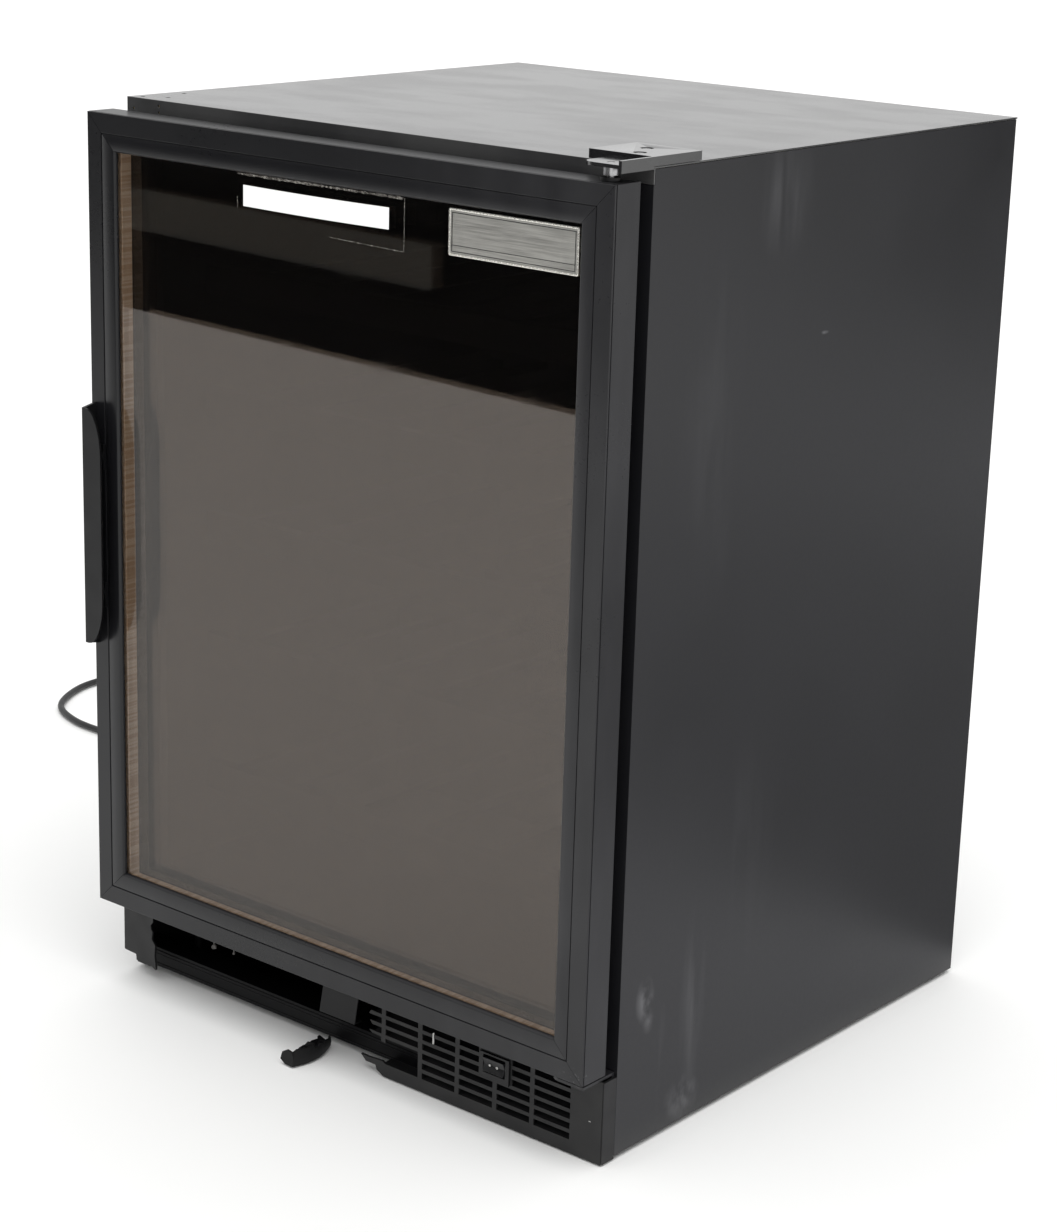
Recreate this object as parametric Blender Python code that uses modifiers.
"""A freestanding wine cooler with a framed bronze-glass door, sliding racks and its cooling plant.

Metres, +Z up. The front faces -Y and the door's hinge is at +X. The origin is the bottom centre of
the appliance's bounding box, on the floor.
"""

import math

import bmesh
import bpy
from mathutils import Matrix, Vector

# Driving dimensions
WIDTH = 0.606
HEIGHT = 0.860
DEPTH = 0.555
DOOR_GAP = 0.016
DOOR_THICK = 0.0325
HANDLE_REACH = 0.0155
DOOR_BOTTOM = 0.0867
DOOR_TOP = 0.850
FRAME_SIDE = 0.0345
FRAME_END = 0.0345
GAP = 0.0003
SHEET = 0.0015
LINER = 0.002

# Planes that follow from them
HALF = WIDTH / 2
HANDLE_FACE = -(HANDLE_REACH + DOOR_THICK + DOOR_GAP + DEPTH) / 2
DOOR_FACE = HANDLE_FACE + HANDLE_REACH
DOOR_BACK = DOOR_FACE + DOOR_THICK
FRONT = DOOR_BACK + DOOR_GAP
BACK = FRONT + DEPTH
ROOF = HEIGHT - SHEET
SIDE_INSIDE = HALF - SHEET

# Compartment: a moulded tub whose floor steps up over the machine room
CAVITY_HALF = 0.2565
CAVITY_FLOOR = 0.122
CAVITY_ROOF = 0.815
STEP_BACK = FRONT + 0.330
STEP_TOP = 0.318
CAVITY_BACK = FRONT + 0.488
FLANGE_HALF = 0.2845
FLANGE_TOP = 0.8457
FLANGE_BOTTOM = 0.084
FOAM_BOTTOM = 0.086
MACHINE_FRONT = FRONT + 0.372
MACHINE_ROOF = 0.276
PAN_Z = 0.008
RAIL_TOP = 0.028

# Door hinge
HINGE_X = 0.284
HINGE_Y = FRONT - 0.031
PIN_RADIUS = 0.003
BUSH_RADIUS = 0.005

# Door frame section, as shares of a rail's width, and the gap that its mitres leave
REBATE = 0.45
FACE_GROOVE = 0.53
MITRE_GAP = 0.0004

# Door glazing
LIP_BACK = DOOR_FACE + 0.0052
GLASS_FACE = LIP_BACK + GAP
PANE = 0.004
SPACER = 0.012
GLASS_HALF = HALF - REBATE * FRAME_SIDE - GAP
GLASS_TOP = DOOR_TOP - REBATE * FRAME_END - GAP
GLASS_BOTTOM = DOOR_BOTTOM + REBATE * FRAME_END + GAP

# Racks
RACK_HALF = 0.240
RACK_FRONT = FRONT + 0.038
RACK_LEVELS = (0.200, 0.330, 0.450, 0.570, 0.685)
LONG_RACK_BACK = FRONT + 0.445
SHORT_RACK_BACK = FRONT + 0.310
RACK_THICK = 0.008
LEDGE = 0.006

# Kick grille
GRILLE_FACE = FRONT - 0.018
GRILLE_THICK = 0.0025
GRILLE_TOP = 0.0795
SLOT = 0.006
SLOT_PITCH = 0.0097
FIRST_SLOT = 0.014
SLOT_ROWS = 6

# Cooling plant
FAN_X, FAN_Y, FAN_Z = -0.100, FRONT + 0.395, 0.100
COLD_FAN_Y, COLD_FAN_Z = FRONT + 0.465, 0.700
COMPRESSOR_X, COMPRESSOR_Y = 0.140, FRONT + 0.462
COMPRESSOR_RADIUS = 0.078
PIPE_RADIUS = 0.0024

# Levelling legs
LEG_X = 0.262
LEG_INSET = 0.045

# Power cord: leaves the back low on the left, loops out over the floor and comes back to the plug
CORD_RADIUS = 0.004
CORD_STEP = 0.0255
CORD_EXIT = (-0.200, BACK + 0.0343, 0.075)
CORD_ROUTE = (
    CORD_EXIT,
    (-0.200, BACK + 0.060, 0.0745),
    (-0.203, BACK + 0.084, 0.066),
    (-0.213, BACK + 0.104, 0.046),
    (-0.234, BACK + 0.117, 0.024),
    (-0.266, BACK + 0.121, 0.0085),
    (-0.305, BACK + 0.113, 0.0045),
    (-0.380, 0.381, 0.0045),
    (-0.500, 0.307, 0.0045),
    (-0.620, 0.248, 0.0045),
    (-0.740, 0.211, 0.0045),
    (-0.860, 0.200, 0.0045),
    (-0.920, 0.2075, 0.0045),
    (-0.967, 0.233, 0.0045),
    (-0.998, 0.284, 0.0045),
    (-1.006, 0.332, 0.0045),
    (-0.992, 0.388, 0.0045),
    (-0.950, 0.436, 0.0045),
    (-0.880, 0.468, 0.0045),
    (-0.780, 0.482, 0.0045),
    (-0.650, 0.486, 0.0045),
    (-0.500, 0.487, 0.0045),
    (-0.350, 0.485, 0.0045),
    (-0.200, 0.483, 0.0045),
    (-0.090, 0.482, 0.0055),
    (-0.030, 0.482, 0.0115),
    (0.010, 0.482, 0.0145),
)

# Slabs are drawn flat in XY, and these stand them across another axis
ALONG = {
    "x": Matrix(((0, 0, 1), (1, 0, 0), (0, 1, 0))).to_4x4(),
    "y": Matrix(((1, 0, 0), (0, 0, -1), (0, 1, 0))).to_4x4(),
    "z": Matrix.Identity(4),
}

# Turned solids are drawn round Z, and these lay that axis along another
TURNED_ALONG = {
    "x": Matrix.Rotation(math.pi / 2, 4, "Y"),
    "y": Matrix.Rotation(-math.pi / 2, 4, "X"),
    "z": Matrix.Identity(4),
}

# Base colour, roughness and metallic of each finish
COLOURS = {
    "painted_steel": ((0.030, 0.030, 0.033), 0.45, 0.0),
    "black_plastic": ((0.018, 0.018, 0.020), 0.50, 0.0),
    "grey_sheet": ((0.23, 0.23, 0.24), 0.40, 0.8),
    "zinc": ((0.55, 0.55, 0.56), 0.35, 1.0),
    "charcoal_abs": ((0.045, 0.045, 0.047), 0.40, 0.0),
    "foam": ((0.80, 0.72, 0.50), 0.90, 0.0),
    "bronze_glass": ((0.10, 0.075, 0.055), 0.05, 0.0),
    "clear_glass": ((0.70, 0.75, 0.73), 0.05, 0.0),
    "bronze_spacer": ((0.19, 0.13, 0.09), 0.45, 0.6),
    "rubber": ((0.020, 0.020, 0.021), 0.75, 0.0),
    "brushed_plate": ((0.62, 0.62, 0.63), 0.30, 1.0),
    "copper": ((0.72, 0.38, 0.24), 0.35, 1.0),
    "aluminium": ((0.78, 0.79, 0.80), 0.35, 1.0),
    "enamel": ((0.012, 0.012, 0.013), 0.30, 0.0),
    "lens": ((0.90, 0.90, 0.85), 0.25, 0.0),
    "beech": ((0.42, 0.24, 0.12), 0.55, 0.0),
}


# Building tools


def clear_scene():
    for thing in list(bpy.data.objects):
        bpy.data.objects.remove(thing, do_unlink=True)


def new_collection(name):
    group = bpy.data.collections.new(name)
    bpy.context.scene.collection.children.link(group)
    return group


def principled(name, colour, roughness, metallic):
    look = bpy.data.materials.new(name)
    look.use_nodes = True
    shader = look.node_tree.nodes["Principled BSDF"]
    shader.inputs["Base Color"].default_value = (*colour, 1)
    shader.inputs["Roughness"].default_value = roughness
    shader.inputs["Metallic"].default_value = metallic
    return look


def piece(thing, finish, body=None):
    """Makes an object a part of the cooler: gives it its own material and hangs it on its body."""
    thing.data.materials.clear()
    thing.data.materials.append(principled(f"{thing.name}_{finish}", *COLOURS[finish]))
    if body:
        bpy.context.view_layer.update()
        thing.parent = body
        thing.matrix_parent_inverse = body.matrix_world.inverted()


def pivot(name, place):
    """An empty on a joint's axis, which the moving pieces hang on."""
    empty = bpy.data.objects.new(name, None)
    empty.empty_display_size = 0.03
    empty.location = place
    parts.objects.link(empty)
    bpy.context.view_layer.update()
    return empty


def from_bmesh(name, shape, group, matrix=None):
    bmesh.ops.recalc_face_normals(shape, faces=shape.faces)
    mesh = bpy.data.meshes.new(name)
    shape.to_mesh(mesh)
    shape.free()
    thing = bpy.data.objects.new(name, mesh)
    if matrix is not None:
        thing.matrix_world = matrix
    group.objects.link(thing)
    return thing


def boxes(name, spans, group=None):
    """One mesh of boxes, each given as its ranges along X, Y and Z."""
    shape = bmesh.new()
    for span in spans:
        low, high = Vector([min(s) for s in span]), Vector([max(s) for s in span])
        made = bmesh.ops.create_cube(shape, size=1)["verts"]
        bmesh.ops.scale(shape, vec=high - low, verts=made)
        bmesh.ops.translate(shape, vec=(low + high) / 2, verts=made)
    return from_bmesh(name, shape, group or parts)


def box(name, x, y, z, group=None):
    return boxes(name, [(x, y, z)], group)


def slab(name, outlines, along, span, group=None):
    """Flat outlines, the first the outside and the others holes, given a thickness along one axis.

    Points are (y, z) for a slab along x, (x, z) along y, and (x, y) along z.
    """
    curve = bpy.data.curves.new(name, "CURVE")
    curve.dimensions = "2D"
    curve.fill_mode = "BOTH"
    curve.extrude = (span[1] - span[0]) / 2
    for outline in outlines:
        spline = curve.splines.new("POLY")
        spline.points.add(len(outline) - 1)
        for point, (u, v) in zip(spline.points, outline):
            point.co = (u, v, 0, 1)
        spline.use_cyclic_u = True
    flat = bpy.data.objects.new(name, curve)
    parts.objects.link(flat)
    middle = Vector([sum(span) / 2 if axis == along else 0 for axis in "xyz"])
    return meshed(flat, group or parts, Matrix.Translation(middle) @ ALONG[along])


def meshed(thing, group, matrix):
    """Turns a curve object into a mesh object with its caps welded."""
    bpy.context.view_layer.update()
    solid = thing.evaluated_get(bpy.context.evaluated_depsgraph_get())
    mesh = bpy.data.meshes.new_from_object(solid)
    name, curve = thing.name, thing.data
    bpy.data.objects.remove(thing)
    bpy.data.curves.remove(curve)
    shape = bmesh.new()
    shape.from_mesh(mesh)
    bpy.data.meshes.remove(mesh)
    bmesh.ops.remove_doubles(shape, verts=shape.verts, dist=1e-6)
    return from_bmesh(name, shape, group, matrix)


def tube(name, points, radius, sides=2):
    """A pipe or cord along points, left as a curve."""
    curve = bpy.data.curves.new(name, "CURVE")
    curve.dimensions = "3D"
    curve.bevel_depth = radius
    curve.bevel_resolution = sides
    curve.use_fill_caps = True
    spline = curve.splines.new("POLY")
    spline.points.add(len(points) - 1)
    for point, place in zip(spline.points, points):
        point.co = (*place, 1)
    thing = bpy.data.objects.new(name, curve)
    parts.objects.link(thing)
    return thing


def turned(name, profile, place, along="z", steps=20, closed=False, group=None):
    """A turned solid. The profile holds (radius, height) down its outer side, top to bottom."""
    shape = bmesh.new()
    made = [shape.verts.new((radius, 0, height)) for radius, height in profile]
    for first, second in zip(made, made[1:] + made[:1] if closed else made[1:]):
        shape.edges.new((first, second))
    mesh = bpy.data.meshes.new(name)
    shape.to_mesh(mesh)
    shape.free()
    thing = bpy.data.objects.new(name, mesh)
    thing.matrix_world = Matrix.Translation(place) @ TURNED_ALONG[along]
    (group or parts).objects.link(thing)
    screw = thing.modifiers.new("turn", "SCREW")
    screw.steps = screw.render_steps = steps
    screw.use_merge_vertices = True
    screw.merge_threshold = 1e-5
    screw.use_smooth_shade = True
    return thing


def rod(name, radius, span, place, along="z", steps=16, group=None):
    """A round bar from span[0] to span[1] along an axis through place."""
    low, high = span
    profile = [(0, high), (radius, high), (radius, low), (0, low)]
    return turned(name, profile, place, along, steps, group=group)


def ring_profile(inner, outer, low, high):
    return [(inner, high), (outer, high), (outer, low), (inner, low)]


def change(thing, other, operation):
    """Cuts or joins with a helper, which is kept out of the part."""
    step = thing.modifiers.new(other.name, "BOOLEAN")
    step.operation = operation
    step.object = other
    other.hide_render = True
    other.display_type = "WIRE"
    for group in list(other.users_collection):
        group.objects.unlink(other)
    cutters.objects.link(other)
    return thing


def cut(thing, other):
    return change(thing, other, "DIFFERENCE")


def join(thing, other):
    return change(thing, other, "UNION")


def rectangle(u, v):
    return [(u[0], v[0]), (u[1], v[0]), (u[1], v[1]), (u[0], v[1])]


def arc(centre, radii, start, end, steps):
    """Points on an elliptical arc, angles in degrees."""
    found = []
    for i in range(steps + 1):
        angle = math.radians(start + (end - start) * i / steps)
        found.append(
            (centre[0] + radii[0] * math.cos(angle), centre[1] + radii[1] * math.sin(angle))
        )
    return found


def rounded(u, v, radius, steps=3):
    """A rectangle with round corners."""
    points = []
    corners = ((u[1], v[1], -1, -1), (u[0], v[1], 1, -1), (u[0], v[0], 1, 1), (u[1], v[0], -1, 1))
    for i, (x, y, inward_x, inward_y) in enumerate(corners):
        centre = (x + inward_x * radius, y + inward_y * radius)
        points += arc(centre, (radius, radius), 90 * i, 90 * i + 90, steps)
    return points


def smooth_route(points, step):
    """Points about a step apart on a smooth curve through the given ones."""
    anchors = [Vector(p) for p in points]
    anchors = [2 * anchors[0] - anchors[1], *anchors, 2 * anchors[-1] - anchors[-2]]
    fine = []
    for a, b, c, d in zip(anchors, anchors[1:], anchors[2:], anchors[3:]):
        for i in range(12):
            t = i / 12
            bend = (2 * a - 5 * b + 4 * c - d) * t * t + (3 * b - a - 3 * c + d) * t**3
            fine.append(b + ((c - a) * t + bend) / 2)
    fine.append(anchors[-2])
    length = sum((q - p).length for p, q in zip(fine, fine[1:]))
    count = round(length / step)
    spaced, walked, target = [fine[0]], 0.0, length / count
    for p, q in zip(fine, fine[1:]):
        reach = (q - p).length
        while len(spaced) < count and walked + reach >= target * len(spaced):
            spaced.append(p.lerp(q, (target * len(spaced) - walked) / reach))
        walked += reach
    return [*spaced, fine[-1]]


# Cabinet shell


def side_panel(name, side):
    """A folded side sheet with a flange round the front."""
    outline = [
        (side * HALF, FRONT),
        (side * HALF, BACK - SHEET - GAP),
        (side * SIDE_INSIDE, BACK - SHEET - GAP),
        (side * SIDE_INSIDE, FRONT + SHEET),
        (side * 0.285, FRONT + SHEET),
        (side * 0.285, FRONT),
    ]
    panel = slab(name, [outline], "z", (0.004, ROOF - GAP))
    above = box(f"{name}_notch", (side * 0.28, side * 0.31), (FRONT - 0.01, FRONT + 0.0018),
                (FLANGE_TOP, HEIGHT), cutters)
    piece(cut(panel, above), "painted_steel")


def top_panel():
    outline = [
        (FRONT, FLANGE_TOP + GAP),
        (FRONT, HEIGHT),
        (BACK, HEIGHT),
        (BACK, ROOF),
        (FRONT + SHEET, ROOF),
        (FRONT + SHEET, FLANGE_TOP + GAP),
    ]
    panel = slab("top_panel", [outline], "x", (-HALF, HALF))
    # Holes for fitting the hinge on the left instead
    for i, (x, z) in enumerate(((-0.2946, 0.8500), (-0.2612, 0.8545), (-0.2612, 0.8485))):
        cut(panel, rod(f"front_hole_{i}", 0.0013, (-0.005, 0.005), (x, FRONT, z), "y", 8, cutters))
    for i, (x, y) in enumerate(((-0.2919, 0.0094), (-0.2728, 0.0225), (-0.2884, 0.0573))):
        cut(panel, rod(f"top_hole_{i}", 0.0022, (-0.005, 0.005), (x, FRONT + y, HEIGHT), "z", 8, cutters))
    piece(panel, "painted_steel")


def rear_panel():
    panel = box("rear_panel", (-SIDE_INSIDE + GAP, SIDE_INSIDE - GAP), (BACK - SHEET, BACK),
                (0.004, ROOF - GAP))
    rows = [
        ((x - 0.075, x + 0.075), (BACK - 0.01, BACK + 0.01), (0.060 + row * 0.020, 0.068 + row * 0.020))
        for row in range(9)
        for x in (-0.06, 0.14)
    ]
    cut(panel, boxes("rear_vents", rows, cutters))
    cord_hole = (CORD_EXIT[0], BACK, CORD_EXIT[2])
    cut(panel, rod("cord_hole", 0.0075, (-0.01, 0.01), cord_hole, "y", 16, cutters))
    piece(panel, "grey_sheet")


def base_pan():
    """Floor sheet of the cabinet, folded up behind the kick grille into a rail with a ledge."""
    rail = FRONT + 0.0005
    ledge_back = rail + 0.026
    outline = [
        (rail, PAN_Z),
        (rail, RAIL_TOP),
        (ledge_back, RAIL_TOP),
        (ledge_back, RAIL_TOP - SHEET),
        (rail + SHEET, RAIL_TOP - SHEET),
        (rail + SHEET, PAN_Z + SHEET),
        (BACK - SHEET - GAP, PAN_Z + SHEET),
        (BACK - SHEET - GAP, PAN_Z),
    ]
    pan = slab("base_pan", [outline], "x", (-SIDE_INSIDE + GAP, SIDE_INSIDE - GAP))
    for i, (x, y) in enumerate(LEG_PLACES):
        cut(pan, rod(f"leg_hole_{i}", 0.0055, (0, 0.02), (x, y, 0), "z", 12, cutters))
    # The rail's ends stop short of the side sheets' front flanges
    ends = [((side * (FLANGE_HALF + GAP), side * 0.31), (FRONT - 0.01, FRONT + SHEET + 2 * GAP), (0, 0.05))
            for side in (-1, 1)]
    cut(pan, boxes("rail_ends", ends, cutters))
    piece(pan, "painted_steel")


def tub_outline(grow):
    """Side view of the compartment, grown outwards by the wall."""
    return [
        (FRONT - 0.01 * (grow == 0), CAVITY_FLOOR - grow),
        (STEP_BACK + grow, CAVITY_FLOOR - grow),
        (STEP_BACK + grow, STEP_TOP - grow),
        (CAVITY_BACK + grow, STEP_TOP - grow),
        (CAVITY_BACK + grow, CAVITY_ROOF + grow),
        (FRONT - 0.01 * (grow == 0), CAVITY_ROOF + grow),
    ]


def rack_back(level):
    return LONG_RACK_BACK if level > STEP_TOP else SHORT_RACK_BACK


def inner_liner():
    """Moulded tub with a flange round its mouth and a ledge under each side of each rack."""
    tub = slab("inner_liner", [tub_outline(LINER)], "x", (-CAVITY_HALF - LINER, CAVITY_HALF + LINER))
    flange = box("liner_flange", (-FLANGE_HALF, FLANGE_HALF), (FRONT, FRONT + LINER),
                 (FLANGE_BOTTOM, FLANGE_TOP))
    join(tub, flange)
    cut(tub, slab("compartment", [tub_outline(0)], "x", (-CAVITY_HALF, CAVITY_HALF), cutters))
    ledges = [
        ((side * 0.232, side * (CAVITY_HALF + 0.001)),
         (FRONT + 0.055, rack_back(level) + 0.003),
         (level - GAP - LEDGE, level - GAP))
        for level in RACK_LEVELS
        for side in (-1, 1)
    ]
    join(tub, boxes("ledges", ledges))
    piece(tub, "charcoal_abs")


def foam_insulation():
    """Foam between the shell and the tub, open over the machine room at the back."""
    front = FRONT + LINER + GAP
    rear = BACK - SHEET - GAP
    outline = [
        (front, FOAM_BOTTOM),
        (MACHINE_FRONT, FOAM_BOTTOM),
        (MACHINE_FRONT, MACHINE_ROOF),
        (rear, MACHINE_ROOF),
        (rear, ROOF - GAP),
        (front, ROOF - GAP),
    ]
    half = SIDE_INSIDE - GAP
    foam = slab("foam_insulation", [outline], "x", (-half, half))
    clear = CAVITY_HALF + LINER + GAP
    cut(foam, slab("tub_space", [[(y - 0.01 * (y == FRONT), z) for y, z in tub_outline(LINER + GAP)]],
                   "x", (-clear, clear), cutters))
    piece(foam, "foam")


# Hinges


def top_hinge():
    bracket = box("top_hinge_bracket", (0.237, HALF), (FRONT, FRONT + 0.062), (HEIGHT + GAP, 0.868))
    tongue = slab("tongue", [[
        (0.262, FRONT + 0.004),
        (0.262, FRONT - 0.030),
        *arc((0.274, FRONT - 0.030), (0.012, 0.012), 180, 270, 4),
        (HALF, FRONT - 0.042),
        (HALF, FRONT + 0.004),
    ]], "z", (0.8615, 0.8645))
    skirt = box("skirt", (HALF - 0.003, HALF), (FRONT - 0.042, FRONT + 0.004), (HEIGHT + GAP, 0.868))
    lip = box("skirt_lip", (HALF - 0.003, HALF), (FRONT - 0.042, FRONT - GAP), (0.8580, 0.863))
    join(join(join(bracket, tongue), skirt), lip)
    axis = (HINGE_X, HINGE_Y, 0)
    cut(bracket, rod("top_pin_hole", PIN_RADIUS + GAP, (0.85, 0.88), axis, "z", 16, cutters))
    places = ((0.279, FRONT + 0.012), (0.266, FRONT + 0.038))
    for i, (x, y) in enumerate(places):
        recess = [(0, 0.870), (0.0056, 0.870), (0.0056, 0.8650), (0.0024, 0.8650), (0.0024, 0.850), (0, 0.850)]
        cut(bracket, turned(f"screw_recess_{i}", recess, (x, y, 0), "z", 16, group=cutters))
        screw = [(0, 0.8674), (0.0035, 0.8674), (0.0052, 0.8660), (0.0052, 0.8653), (0.0020, 0.8653),
                 (0.0020, 0.8606), (0, 0.8606)]
        piece(turned(f"top_hinge_screw_{i + 1}", screw, (x, y, 0), "z", 14), "zinc")
    piece(bracket, "painted_steel")
    pin = [(0, 0.8643), (PIN_RADIUS, 0.8643), (PIN_RADIUS, 0.8612), (0.006, 0.8612), (0.006, 0.8545),
           (PIN_RADIUS, 0.8545), (PIN_RADIUS, 0.8405), (0, 0.8405)]
    piece(turned("top_hinge_pin", pin, axis, "z", 16), "zinc")


def bottom_hinge():
    plate_z = (0.0803, 0.0833)
    bracket = slab("bottom_hinge_bracket", [[
        (0.262, FRONT - GAP),
        (0.262, FRONT - 0.033),
        *arc((0.272, FRONT - 0.033), (0.010, 0.010), 180, 270, 4),
        (0.300, FRONT - 0.043),
        (0.300, FRONT - GAP),
    ]], "z", plate_z)
    join(bracket, box("bracket_flange", (0.262, 0.300), (FRONT - 0.0033, FRONT - GAP), (0.045, plate_z[1])))
    axis = (HINGE_X, HINGE_Y, 0)
    cut(bracket, rod("bottom_pin_hole", PIN_RADIUS + GAP, (0.07, 0.09), axis, "z", 16, cutters))
    piece(bracket, "painted_steel")
    pin = [(0, 0.0945), (PIN_RADIUS, 0.0945), (PIN_RADIUS, 0.0800), (0.0055, 0.0800), (0.0055, 0.0775),
           (0, 0.0775)]
    piece(turned("bottom_hinge_pin", pin, axis, "z", 16), "zinc")


# Door


def frame_corner(side, end, inset, y, ease):
    """A point on the mitre of a frame corner. inset is 0 at the door's edge and 1 at the glass."""
    z = DOOR_TOP - inset * FRAME_END if end > 0 else DOOR_BOTTOM + inset * FRAME_END
    return (side * (HALF - inset * FRAME_SIDE - ease), y, z)


def mitred_rail(name, first, second, ease):
    """A frame rail between two corners, lofted from one mitre face to the other."""
    section = [
        (0, DOOR_FACE),
        (FACE_GROOVE - 0.02, DOOR_FACE),
        (FACE_GROOVE, DOOR_FACE + 0.0008),
        (FACE_GROOVE + 0.02, DOOR_FACE),
        (0.93, DOOR_FACE),
        (1, LIP_BACK - 0.0024),
        (1, LIP_BACK),
        (REBATE, LIP_BACK),
        (REBATE, DOOR_BACK),
        (0, DOOR_BACK),
    ]
    shape = bmesh.new()
    rings = []
    for corner in (first, second):
        made = [shape.verts.new(frame_corner(*corner, inset, y, ease)) for inset, y in section]
        rings += [shape.edges.new(pair) for pair in zip(made, made[1:] + made[:1])]
        shape.faces.new(made)
    bmesh.ops.bridge_loops(shape, edges=rings)
    return from_bmesh(name, shape, parts)


def door_frame(body):
    ends = {
        "door_stile_left": ((-1, -1), (-1, 1), 0),
        "door_stile_right": ((1, -1), (1, 1), 0),
        "door_rail_top": ((-1, 1), (1, 1), MITRE_GAP),
        "door_rail_bottom": ((-1, -1), (1, -1), MITRE_GAP),
    }
    rails = {name: mitred_rail(name, *corners) for name, corners in ends.items()}
    axis = (HINGE_X, HINGE_Y, 0)
    hole = BUSH_RADIUS + GAP
    cut(rails["door_rail_top"], rod("top_bush_hole", hole, (0.8385, 0.86), axis, "z", 16, cutters))
    cut(rails["door_rail_bottom"], rod("bottom_bush_hole", hole, (0.07, 0.0962), axis, "z", 16, cutters))
    for name, rail in rails.items():
        piece(rail, "painted_steel", body)
    inside = PIN_RADIUS + 0.0004
    top = [(inside, 0.8530), (0.008, 0.8530), (0.008, 0.8503), (BUSH_RADIUS, 0.8503),
           (BUSH_RADIUS, 0.8388), (inside, 0.8388)]
    piece(turned("door_bush_top", top, axis, "z", 16, closed=True), "black_plastic", body)
    bottom = ring_profile(inside, BUSH_RADIUS, 0.0843, 0.0959)
    piece(turned("door_bush_bottom", bottom, axis, "z", 16, closed=True), "black_plastic", body)


def frame_slab(name, outer_x, outer_z, inner_x, inner_z, y):
    outside = rectangle((-outer_x, outer_x), outer_z)
    inside = rectangle((-inner_x, inner_x), inner_z)
    return slab(name, [outside, inside], "y", y)


def door_glazing(body):
    height = (GLASS_BOTTOM, GLASS_TOP)
    layers = GLASS_FACE, GLASS_FACE + PANE
    piece(box("door_glass_outer", (-GLASS_HALF, GLASS_HALF), layers, height), "bronze_glass", body)
    layers = layers[1] + GAP, layers[1] + GAP + SPACER
    spacer = frame_slab("glass_spacer", GLASS_HALF, height, 0.2690, (0.1165, 0.8200), layers)
    piece(spacer, "bronze_spacer", body)
    layers = layers[1] + GAP, layers[1] + GAP + PANE
    piece(box("door_glass_inner", (-GLASS_HALF, GLASS_HALF), layers, height), "clear_glass", body)
    layers = layers[1] + GAP, DOOR_BACK
    retainer = frame_slab("door_inner_frame", GLASS_HALF, height, 0.262, (0.1210, 0.8130), layers)
    piece(retainer, "black_plastic", body)
    seal = (DOOR_BACK + GAP, FRONT - 0.0008)
    gasket = frame_slab("door_gasket", 0.283, (0.100, 0.838), 0.263, (0.120, 0.818), seal)
    piece(gasket, "rubber", body)


def door_handle(body):
    """An L-section pull on the left stile: a web off the door's face and a lip along its front."""
    low, high = 0.353, 0.580
    left, right = -0.2995, -0.2755
    lip_thick = 0.0022
    lip = slab("door_handle", [[
        (left, low),
        *arc((left + 0.004, low + 0.044), (right - left - 0.004, 0.044), -90, 0, 8),
        *arc((left + 0.004, high - 0.044), (right - left - 0.004, 0.044), 0, 90, 8),
        (left, high),
    ]], "y", (HANDLE_FACE, HANDLE_FACE + lip_thick))
    web = slab("handle_web", [[
        (HANDLE_FACE, low),
        (HANDLE_FACE, high),
        (DOOR_FACE - GAP, high + 0.003),
        (DOOR_FACE - GAP, low - 0.003),
    ]], "x", (left, left + 0.0032))
    join(lip, web)
    screw_x = left + 0.008
    for i, z in enumerate((0.400, 0.533)):
        foot = box(f"handle_foot_{i}", (left, left + 0.015), (DOOR_FACE - GAP - 0.0025, DOOR_FACE - GAP),
                   (z - 0.012, z + 0.012))
        join(lip, foot)
        hole = rod(f"foot_hole_{i}", 0.0023, (-0.01, 0.01), (screw_x, DOOR_FACE, z), "y", 12, cutters)
        cut(lip, hole)
        screw = [(0, 0.0), (0.0040, 0.0), (0.0040, -0.0018), (0.0018, -0.0018), (0.0018, -0.0022), (0, -0.0022)]
        head = turned(f"handle_screw_{i + 1}", [(r, -h) for r, h in reversed(screw)],
                      (screw_x, DOOR_FACE - 0.0028 - 0.0021, z), "y", 12)
        piece(head, "zinc", body)
    piece(lip, "black_plastic", body)


def nameplate(body):
    plate = slab("nameplate", [rounded((0.1292, 0.2657), (0.7736, 0.8126), 0.002)], "y",
                 (GLASS_FACE - GAP - 0.0015, GLASS_FACE - GAP))
    piece(plate, "brushed_plate", body)


# Racks


def wine_rack(number, level):
    """A flat frame of bars with a front board, its slide along Y."""
    back = rack_back(level)
    joint = pivot(f"rack_{number}_slide", (0, RACK_FRONT, level))
    bays = 6
    pitch = (2 * RACK_HALF - 0.016) / bays
    lefts = [-RACK_HALF + 0.012 + i * pitch for i in range(bays)]
    openings = [
        ((left, left + pitch - 0.008), (RACK_FRONT + 0.020, back - 0.012), (level - 0.01, level + 0.02))
        for left in lefts
    ]
    rack = box(f"wine_rack_{number}", (-RACK_HALF, RACK_HALF), (RACK_FRONT + 0.004, back),
               (level, level + RACK_THICK))
    board = box(f"rack_board_{number}", (-RACK_HALF - 0.0005, RACK_HALF + 0.0005),
                (RACK_FRONT, RACK_FRONT + 0.012), (level - 0.004, level + 0.024))
    cut(rack, boxes(f"rack_openings_{number}", openings, cutters))
    piece(join(rack, board), "beech", joint)


# Kick grille


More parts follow.
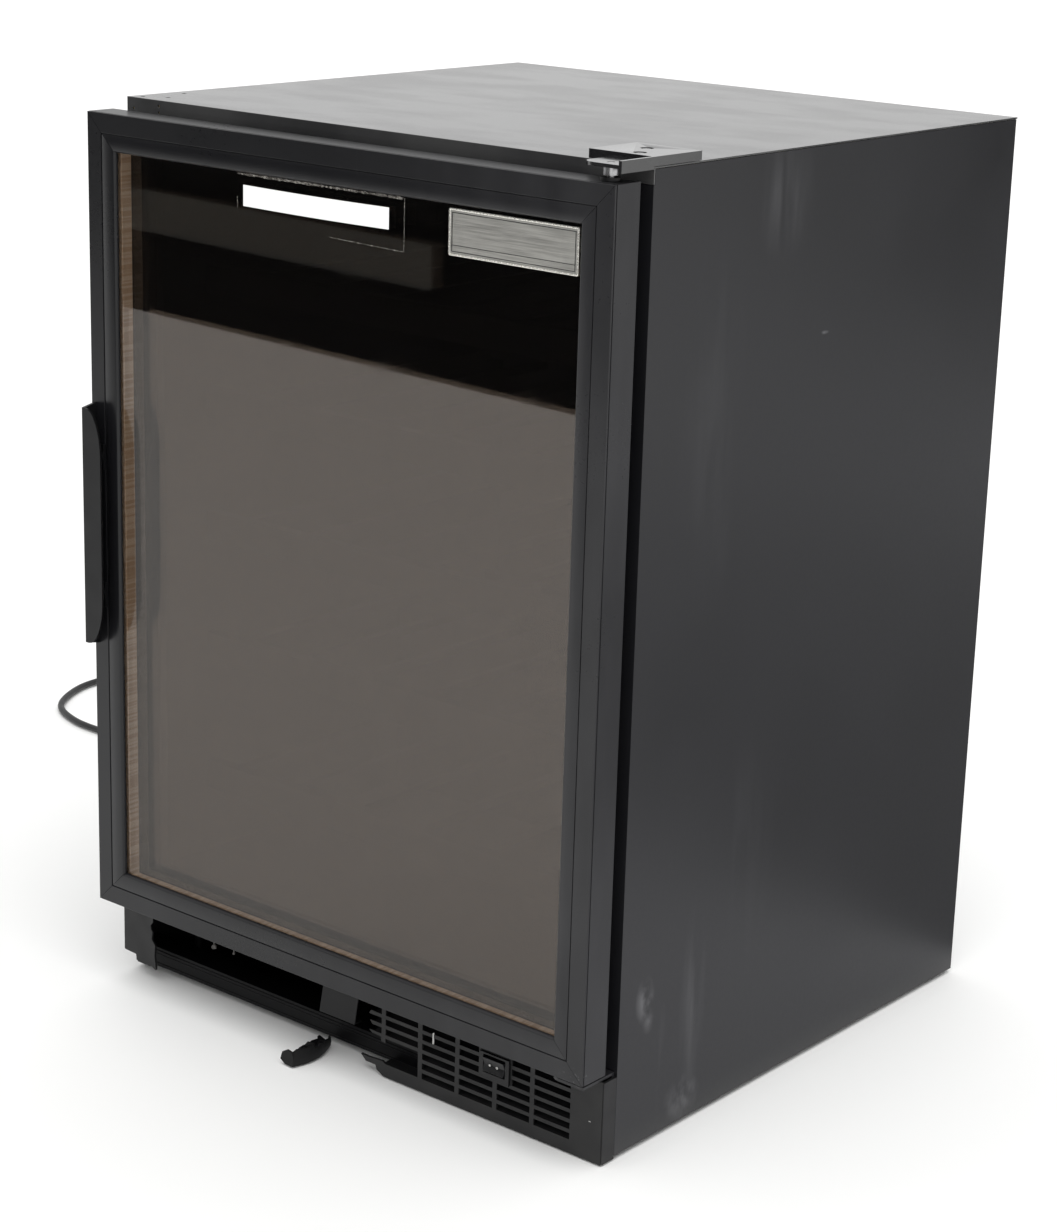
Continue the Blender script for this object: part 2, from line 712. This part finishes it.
def grille_parts():
    z = (0.001, GRILLE_TOP)
    face = (GRILLE_FACE, GRILLE_FACE + GRILLE_THICK)
    outline = [
        (0.025, GRILLE_TOP),
        (HALF - 0.001, GRILLE_TOP),
        (HALF - 0.001, z[0]),
        (0.0476, z[0]),
        (0.0391, 0.0050),
        (0.0373, 0.0095),
        (0.0254, 0.0095),
        (0.0192, 0.0152),
        (0.0290, 0.0148),
        (0.0456, 0.0160),
        (0.0500, FIRST_SLOT),
        (0.0895, FIRST_SLOT),
        (0.0895, 0.0365),
        (0.0500, 0.0365),
        (0.0500, 0.0350),
        (0.0440, 0.0356),
        (0.0440, 0.0398),
        (0.0330, 0.0402),
        (0.0290, 0.0428),
        (0.0340, 0.0480),
        (0.0270, 0.0560),
        (0.0320, 0.0640),
    ]
    grille = slab("grille_main", [outline], "y", face)
    spans = []
    for row in range(SLOT_ROWS):
        low = FIRST_SLOT + row * SLOT_PITCH
        bays = [(0.0945, 0.134), (0.139, 0.1785), (0.1835, 0.2215), (0.2265, 0.267)]
        if low > 0.033:
            bays.append((0.0495, 0.0892))
        if low > 0.040:
            bays[1:3] = [(0.139, 0.162), (0.2005, 0.2215)]
            bays.append((0.010, 0.0445))
        spans += [(bay, (face[0] - 0.01, face[1] + 0.01), (low, low + SLOT)) for bay in bays]
    cut(grille, boxes("grille_slots", spans, cutters))
    cut(grille, box("switch_window", (0.1655, 0.1970), (face[0] - 0.01, face[1] + 0.01), (0.0430, 0.0650), cutters))
    inside = (z[0] + 0.0005, z[1] - 0.0005)
    depth = (GRILLE_FACE + 0.0005, FRONT - GAP)
    join(grille, box("grille_return", (HALF - GRILLE_THICK, HALF), depth, inside))
    join(grille, box("grille_sill", (0.0430, HALF - GRILLE_THICK / 2), depth, (0.0095, 0.0115)))
    piece(grille, "black_plastic")

    stubs = [
        (-0.3015, GRILLE_TOP),
        (-0.2600, GRILLE_TOP),
        (-0.2608, 0.0635),
        (-0.2638, 0.0600),
        (-0.2634, 0.0555),
        (-0.2612, 0.0535),
        (-0.2626, 0.0456),
        (-0.2600, 0.0425),
        (-0.2578, 0.0400),
        (-0.2588, 0.0280),
        (-0.2572, 0.0165),
        (-0.2575, 0.0136),
        (-0.2660, 0.0174),
        (-0.2848, 0.0166),
        (-0.2855, 0.0228),
        (-0.3015, 0.0237),
    ]
    cap = slab("grille_left_end", [stubs], "y", face)
    join(cap, box("cap_return", (-0.3025, -0.3000), depth, (0.0242, inside[1])))
    piece(cap, "black_plastic")

    arch = [
        *arc((-0.038, 0.0008), (0.025, 0.0150), 172, 12, 10),
        *arc((-0.038, 0.0008), (0.0225, 0.0125), 12, 172, 10),
    ]
    shard = slab("grille_shard", [arch], "y", (-0.030, 0.030))
    shard.location.y = FRONT - 0.0325
    piece(shard, "black_plastic")

    # A leaning tab on a foot, on the rail's ledge
    foot = RAIL_TOP + GAP
    tab = slab("grille_mount_tab", [[
        (FRONT + 0.0012, foot), (FRONT + 0.0120, foot), (FRONT + 0.0120, foot + SHEET),
        (FRONT + 0.0031, foot + SHEET), (FRONT + 0.0105, 0.068), (FRONT + 0.0088, 0.068),
    ]], "x", (-0.0528, -0.0074))
    piece(tab, "grey_sheet")


def light_switch():
    window_x, window_z = (0.1655 + GAP, 0.1970 - GAP), (0.0430 + GAP, 0.0650 - GAP)
    bezel = box("switch_bezel", (0.1640, 0.1985), (GRILLE_FACE - 0.0023, GRILLE_FACE - GAP), (0.0415, 0.0665))
    join(bezel, box("switch_case", window_x, (GRILLE_FACE - 0.0005, GRILLE_FACE + 0.014), window_z))
    cut(bezel, box("switch_pocket", (0.1690, 0.1940), (GRILLE_FACE - 0.01, GRILLE_FACE + 0.012), (0.0475, 0.0645), cutters))
    piece(bezel, "black_plastic")
    axis_y, axis_z = GRILLE_FACE + 0.0045, 0.0560
    joint = pivot("light_switch_axis", (0.1815, axis_y, axis_z))
    section = [
        (-0.0090, 0.0066), (-0.0062, 0.0), (-0.0090, -0.0066), (0.0, -0.0066),
        *arc((0, 0), (0.0066, 0.0066), -90, 90, 6)[1:-1],
        (0.0, 0.0066),
    ]
    rocker = slab("light_switch", [[(axis_y + y, axis_z + z) for y, z in section]], "x", (0.1696, 0.1934))
    piece(rocker, "black_plastic", joint)


# Inside the compartment


def thermostat():
    housing_y = (FRONT + 0.030, FRONT + 0.150)
    housing = box("thermostat_housing", (-0.100, 0.100), housing_y, (0.782, CAVITY_ROOF - GAP))
    lens = (-0.080, 0.020), (FRONT + 0.055, FRONT + 0.135)
    cut(housing, box("lens_recess", (lens[0][0] - GAP, lens[0][1] + GAP), (lens[1][0] - GAP, lens[1][1] + GAP),
                     (0.78, 0.7855), cutters))
    place = (0.062, FRONT + 0.030, 0.798)
    cut(housing, rod("knob_bore", 0.0036, (-0.002, 0.012), place, "y", 12, cutters))
    piece(housing, "charcoal_abs")
    piece(box("lamp_lens", *lens, (0.7790, 0.7852)), "lens")
    joint = pivot("thermostat_knob_axis", place)
    profile = [(0, 0.010), (0.003, 0.010), (0.003, -GAP), (0.013, -GAP), (0.0115, -0.012), (0, -0.012)]
    knob = turned("thermostat_knob", profile, place, "y", 20)
    grip = box("knob_grip", (place[0] - 0.002, place[0] + 0.002), (place[1] - 0.015, place[1] - 0.008),
               (place[2] - 0.010, place[2] + 0.010))
    piece(join(knob, grip), "black_plastic", joint)


def fan(name, place, radius, hub, blades, depth, finish):
    """A fan wheel along Y: a hub with pitched blades."""
    joint = pivot(f"{name}_axis", place)
    wheel = rod(name, hub, (-depth / 2, depth / 2), place, "y", 20)
    shape = bmesh.new()
    for i in range(blades):
        made = bmesh.ops.create_cube(shape, size=1)["verts"]
        reach = radius - hub * 0.8
        bmesh.ops.scale(shape, vec=(reach, 0.0016, radius * 0.62), verts=made)
        bmesh.ops.rotate(shape, cent=(0, 0, 0), matrix=Matrix.Rotation(math.radians(24), 3, "X"), verts=made)
        bmesh.ops.translate(shape, vec=(hub * 0.8 + reach / 2, 0, 0), verts=made)
        turn = Matrix.Rotation(2 * math.pi * i / blades, 3, "Y")
        bmesh.ops.rotate(shape, cent=(0, 0, 0), matrix=turn, verts=made)
    wings = from_bmesh(f"{name}_blades", shape, parts, Matrix.Translation(place))
    piece(join(wheel, wings), finish, joint)


def cold_plant():
    """Evaporator, its cover and its fan on the compartment's back wall."""
    x, z = (-0.200, 0.200), (0.345, 0.800)
    front = FRONT + 0.455
    cover = box("evaporator_cover", x, (front, CAVITY_BACK - GAP), z)
    cut(cover, box("cover_hollow", (x[0] + SHEET, x[1] - SHEET), (front + SHEET, CAVITY_BACK + 0.01),
                   (z[0] + SHEET, z[1] - SHEET), cutters))
    grid = []
    for row in range(-3, 4):
        half = math.sqrt(0.040**2 - (row * 0.011) ** 2)
        grid.append(((-half, half), (front - 0.01, front + 0.003),
                     (COLD_FAN_Z + row * 0.011 - 0.003, COLD_FAN_Z + row * 0.011 + 0.003)))
    for row in range(3):
        low = 0.362 + row * 0.013
        grid.append(((-0.150, -0.004), (front - 0.01, front + 0.003), (low, low + 0.006)))
        grid.append(((0.004, 0.150), (front - 0.01, front + 0.003), (low, low + 0.006)))
    cut(cover, boxes("cover_vents", grid, cutters))
    piece(cover, "charcoal_abs")
    core = box("evaporator", (-0.170, 0.170), (front + 0.0055, CAVITY_BACK - 0.003), (0.420, 0.630))
    gaps = [
        ((-0.163 + i * 0.0235, -0.163 + i * 0.0235 + 0.014), (front - 0.01, CAVITY_BACK - 0.008), (0.41, 0.64))
        for i in range(14)
    ]
    cut(core, boxes("fin_gaps", gaps, cutters))
    piece(core, "aluminium")
    centre = (0, COLD_FAN_Y, COLD_FAN_Z)
    fan("evaporator_fan", centre, 0.038, 0.012, 5, 0.010, "charcoal_abs")
    motor = rod("evaporator_fan_motor", 0.014, (0.0055, CAVITY_BACK - COLD_FAN_Y - GAP), centre, "y", 16)
    piece(motor, "black_plastic")


# Machine room


def compressor():
    place = (COMPRESSOR_X, COMPRESSOR_Y, 0)
    dome = arc((0, 0.150), (COMPRESSOR_RADIUS, 0.045), 90, 0, 6)
    foot = arc((0, 0.060), (COMPRESSOR_RADIUS, 0.036), 0, -90, 5)
    seam = [(COMPRESSOR_RADIUS, 0.112), (COMPRESSOR_RADIUS + 0.003, 0.110),
            (COMPRESSOR_RADIUS + 0.003, 0.106), (COMPRESSOR_RADIUS, 0.104)]
    piece(turned("compressor", [*dome, *seam, *foot], place, "z", 24), "enamel")
    plate_z = (0.0205, 0.0235)
    plate = slab("compressor_mount", [rounded((COMPRESSOR_X - 0.085, COMPRESSOR_X + 0.085),
                 (COMPRESSOR_Y - 0.060, COMPRESSOR_Y + 0.060), 0.010)], "z", plate_z)
    for i, (dx, dy) in enumerate(((-0.072, -0.048), (0.072, -0.048), (-0.072, 0.048), (0.072, 0.048))):
        join(plate, rod(f"grommet_{i}", 0.008, (PAN_Z + SHEET + GAP, 0.026),
                        (COMPRESSOR_X + dx, COMPRESSOR_Y + dy, 0), "z", 12))
    piece(plate, "zinc")
    relay_x = (COMPRESSOR_X - COMPRESSOR_RADIUS - 0.036, COMPRESSOR_X - COMPRESSOR_RADIUS - 0.0035)
    piece(box("start_relay", relay_x, (COMPRESSOR_Y - 0.024, COMPRESSOR_Y + 0.024), (0.060, 0.140)),
          "black_plastic")


def condenser():
    """Discharge pipe from the compressor and the coil that it feeds, flat over the base pan."""
    level = 0.046
    near, pitch, reach, bends = FRONT + 0.100, 0.030, 0.215, 3
    passes = 9
    x_out = COMPRESSOR_X
    y_start = COMPRESSOR_Y - COMPRESSOR_RADIUS - 0.0030 - GAP
    far = near + pitch * (passes - 1)
    drop = y_start - 0.0055
    points = [(x_out, y_start, 0.100), (x_out, drop + 0.0015, 0.0990), (x_out, drop, 0.0950),
              (x_out, drop, level + 0.012), (x_out + 0.002, drop - 0.004, level + 0.003),
              (x_out + 0.008, drop - 0.012, level), (reach, far, level)]
    side = 1
    for i in range(passes - 1):
        y = far - i * pitch
        for j in range(bends + 1):
            angle = math.pi * j / bends
            points.append((-side * (reach + pitch / 2 * math.sin(angle)),
                           y - pitch / 2 * (1 - math.cos(angle)), level))
        side = -side
    points.append((-side * reach, near, level))
    piece(tube("condenser_coil", points, PIPE_RADIUS), "copper")


def condenser_fan():
    centre = (FAN_X, FAN_Y, FAN_Z)
    sheet = (FAN_Y - 0.015, FAN_Y - 0.012)
    shroud = box("fan_shroud", (FAN_X - 0.090, FAN_X + 0.090), sheet, (PAN_Z + SHEET + GAP, 0.195))
    cut(shroud, rod("shroud_mouth", 0.070, (-0.03, 0.0), centre, "y", 28, cutters))
    piece(shroud, "grey_sheet")
    fan("condenser_fan", centre, 0.066, 0.018, 5, 0.014, "aluminium")
    motor = rod("condenser_fan_motor", 0.022, (0.009, 0.040), centre, "y", 20)
    arms = []
    for side in (-1, 1):
        arms.append(((FAN_X + side * 0.010, FAN_X + side * 0.084), (FAN_Y + 0.034, FAN_Y + 0.037),
                     (FAN_Z - 0.006, FAN_Z + 0.006)))
    posts = [((FAN_X + side * 0.078, FAN_X + side * 0.084), (sheet[1] + GAP, FAN_Y + 0.036),
              (FAN_Z - 0.006, FAN_Z + 0.006)) for side in (-1, 1)]
    join(join(motor, boxes("motor_arms", arms)), boxes("motor_posts", posts))
    piece(motor, "zinc")


def levelling_leg(name, x, y):
    joint = pivot(f"{name}_slide", (x, y, 0))
    profile = [(0, 0.040), (0.004, 0.040), (0.004, 0.0055), (0.011, 0.0050), (0.015, 0.0030), (0.015, 0), (0, 0)]
    piece(turned(name, profile, (x, y, 0), "z", 16), "black_plastic", joint)


# Power cord


def power_cord():
    x, y, z = CORD_EXIT
    place = (x, 0, z)
    relief = [
        (0, y - GAP), (0.0052, y - GAP), (0.0068, BACK + 0.0060), (0.0120, BACK + 0.0050),
        (0.0120, BACK + GAP), (0.0070, BACK + GAP), (0.0070, BACK - 0.0100), (0, BACK - 0.0100),
    ]
    piece(turned("cord_strain_relief", relief, place, "y", 16), "rubber")
    piece(tube("power_cord", smooth_route(CORD_ROUTE, CORD_STEP), CORD_RADIUS, 2), "rubber")
    end = CORD_ROUTE[-1]
    body = [(0, 0.042), (0.0105, 0.042), (0.0135, 0.038), (0.0135, 0.016), (0.0095, 0.010),
            (0.0058, GAP), (0, GAP)]
    plug = turned("power_plug", body, end, "x", 16)
    face = end[0] + 0.040
    for i, dy in enumerate((-0.00635, 0.00635)):
        join(plug, box(f"blade_{i}", (face, face + 0.0195), (end[1] + dy - 0.0008, end[1] + dy + 0.0008),
                       (end[2] - 0.0070, end[2] - 0.0007)))
    join(plug, rod("ground_pin", 0.0024, (0.040, 0.0610), (end[0], end[1], end[2] + 0.0055), "x", 10))
    piece(plug, "rubber")


clear_scene()
parts = new_collection("wine_cooler")
cutters = new_collection("cutters")
LEG_PLACES = [
    (side * LEG_X, y) for y in (FRONT + LEG_INSET, BACK - LEG_INSET) for side in (-1, 1)
]

side_panel("side_panel_left", -1)
side_panel("side_panel_right", 1)
top_panel()
rear_panel()
base_pan()
inner_liner()
foam_insulation()
top_hinge()
bottom_hinge()
door = pivot("door_hinge_axis", (HINGE_X, HINGE_Y, DOOR_BOTTOM))
door_frame(door)
door_glazing(door)
door_handle(door)
nameplate(door)
for number, level in enumerate(RACK_LEVELS, 1):
    wine_rack(number, level)
grille_parts()
light_switch()
thermostat()
cold_plant()
compressor()
condenser()
condenser_fan()
for place, (x, y) in zip(("front_left", "front_right", "rear_left", "rear_right"), LEG_PLACES):
    levelling_leg(f"leg_{place}", x, y)
power_cord()
